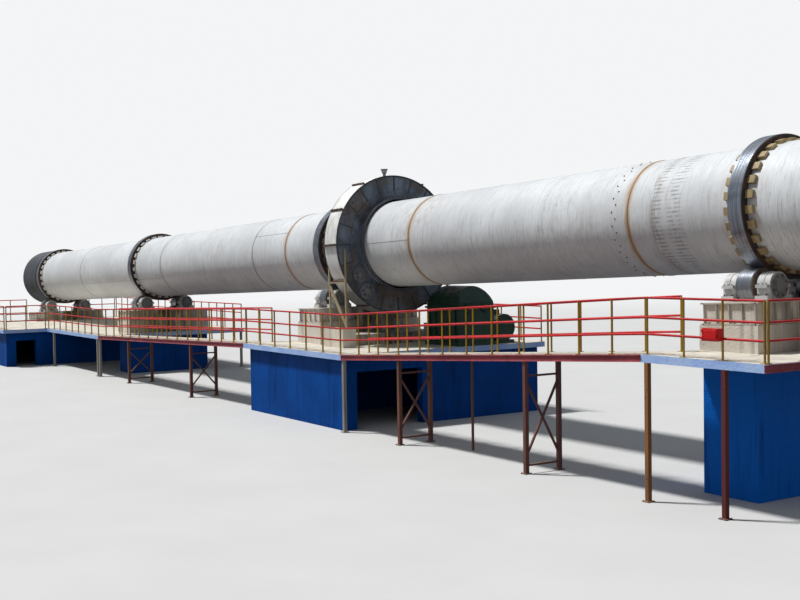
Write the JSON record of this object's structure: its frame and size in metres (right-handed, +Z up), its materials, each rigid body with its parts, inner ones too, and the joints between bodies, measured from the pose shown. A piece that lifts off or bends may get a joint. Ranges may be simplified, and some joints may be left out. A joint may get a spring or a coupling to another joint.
{
  "type": "rotary kiln, 1:2 scale model",
  "caption": "Long inclined rotary kiln on roller supports with piers, gear guard, decks, walkways and railings, as a half-size model.",
  "frame": {"origin": "on the ground, on the kiln centre plane under tyre 2", "axes": "+X along the kiln towards its higher feed end, +Y across it, +Z up"},
  "size_m": [30.123, 5.02, 4.0722],
  "materials": {
    "bearing_paint": "pale grey paint",
    "bed_concrete": "pale concrete, drawn as a matte solid",
    "block_steel": "tan paint, rusted",
    "box_paint": "bright red paint",
    "deck_concrete": "cast concrete, painted edge",
    "drive_paint": "dark green machine paint",
    "fire_brick": "fire brick, drawn as a matte solid",
    "frame_paint": "tan paint",
    "gear_steel": "greased cast steel",
    "guard_sheet": "grey paint on sheet steel",
    "pier_paint": "blue masonry paint on concrete",
    "post_paint": "red-brown primer, rusted",
    "railing_paint": "yellow posts and red rails",
    "roller_steel": "rolled bright",
    "shell_paint": "weathered off-white paint on rolled steel",
    "shroud_steel": "heat-darkened sheet",
    "tyre_steel": "rolled bright by the rollers",
    "vent_steel": "grey paint",
    "walkway_paint": "dark red paint"
  },
  "bodies": {
    "structure": {"bearings_1": "bearing_paint", "bearings_2": "bearing_paint", "bearings_3": "bearing_paint", "bearings_4": "bearing_paint", "roller_bed_1": "bed_concrete", "roller_bed_2": "bed_concrete", "roller_bed_3": "bed_concrete", "roller_bed_4": "bed_concrete", "drive_bed": "bed_concrete", "pier_1": "pier_paint", "pier_2": "pier_paint", "pier_3": "pier_paint", "pier_4": "pier_paint", "deck_1": "deck_concrete", "deck_2": "deck_concrete", "deck_3": "deck_concrete", "deck_4": "deck_concrete", "walkway_12": "walkway_paint", "walkway_23": "walkway_paint", "walkway_posts": "post_paint", "railing_near": "railing_paint", "railing_inner": "railing_paint", "railing_far": "railing_paint", "railing_ends": "railing_paint", "gear_guard_upper": "guard_sheet", "gear_guard_lower": "guard_sheet", "guard_frame": "frame_paint", "guard_vent": "vent_steel", "gear_reducer": "drive_paint", "drive_motor": "drive_paint", "hose_box": "box_paint"},
    "kiln": {"shell_feed": "shell_paint", "shell_upper": "shell_paint", "shell_middle": "shell_paint", "shell_discharge": "shell_paint", "brick_lining": "fire_brick", "tyre_1": "tyre_steel", "tyre_2": "tyre_steel", "tyre_3": "tyre_steel", "tyre_4": "tyre_steel", "tyre_blocks": "block_steel", "girth_gear": "gear_steel", "cooling_shroud": "shroud_steel"},
    "roller_1_near_body": {"roller_1_near": "roller_steel"},
    "roller_1_far_body": {"roller_1_far": "roller_steel"},
    "roller_2_near_body": {"roller_2_near": "roller_steel"},
    "roller_2_far_body": {"roller_2_far": "roller_steel"},
    "roller_3_near_body": {"roller_3_near": "roller_steel"},
    "roller_3_far_body": {"roller_3_far": "roller_steel"},
    "roller_4_near_body": {"roller_4_near": "roller_steel"},
    "roller_4_far_body": {"roller_4_far": "roller_steel"}
  },
  "joints": [
    {"name": "kiln_spin", "type": "hinge", "parent": "structure", "child": "kiln", "pos_m": [0, 0, 2.765], "axis": [0.9994, 0, 0.034], "continuous": true},
    {"name": "roller_1_near_spin", "type": "hinge", "parent": "structure", "child": "roller_1_near_body", "pos_m": [9.21381, -0.49465, 2.22101], "axis": [0.9994, 0, 0.034], "continuous": true},
    {"name": "roller_1_far_spin", "type": "hinge", "parent": "structure", "child": "roller_1_far_body", "pos_m": [9.21381, 0.49465, 2.22101], "axis": [0.9994, 0, 0.034], "continuous": true},
    {"name": "roller_2_near_spin", "type": "hinge", "parent": "structure", "child": "roller_2_near_body", "pos_m": [0.02911, -0.49465, 1.90874], "axis": [0.9994, 0, 0.034], "continuous": true},
    {"name": "roller_2_far_spin", "type": "hinge", "parent": "structure", "child": "roller_2_far_body", "pos_m": [0.02911, 0.49465, 1.90874], "axis": [0.9994, 0, 0.034], "continuous": true},
    {"name": "roller_3_near_spin", "type": "hinge", "parent": "structure", "child": "roller_3_near_body", "pos_m": [-9.08562, -0.49465, 1.59884], "axis": [0.9994, 0, 0.034], "continuous": true},
    {"name": "roller_3_far_spin", "type": "hinge", "parent": "structure", "child": "roller_3_far_body", "pos_m": [-9.08562, 0.49465, 1.59884], "axis": [0.9994, 0, 0.034], "continuous": true},
    {"name": "roller_4_near_spin", "type": "hinge", "parent": "structure", "child": "roller_4_near_body", "pos_m": [-16.66124, -0.49465, 1.34126], "axis": [0.9994, 0, 0.034], "continuous": true},
    {"name": "roller_4_far_spin", "type": "hinge", "parent": "structure", "child": "roller_4_far_body", "pos_m": [-16.66124, 0.49465, 1.34126], "axis": [0.9994, 0, 0.034], "continuous": true}
  ],
  "couplings": [
    {"joint": "roller_1_near_spin", "follows": "kiln_spin", "ratio": -4.0718},
    {"joint": "roller_1_far_spin", "follows": "kiln_spin", "ratio": -4.0718},
    {"joint": "roller_2_near_spin", "follows": "kiln_spin", "ratio": -4.0718},
    {"joint": "roller_2_far_spin", "follows": "kiln_spin", "ratio": -4.0718},
    {"joint": "roller_3_near_spin", "follows": "kiln_spin", "ratio": -4.0718},
    {"joint": "roller_3_far_spin", "follows": "kiln_spin", "ratio": -4.0718},
    {"joint": "roller_4_near_spin", "follows": "kiln_spin", "ratio": -4.0718},
    {"joint": "roller_4_far_spin", "follows": "kiln_spin", "ratio": -4.0718}
  ]
}
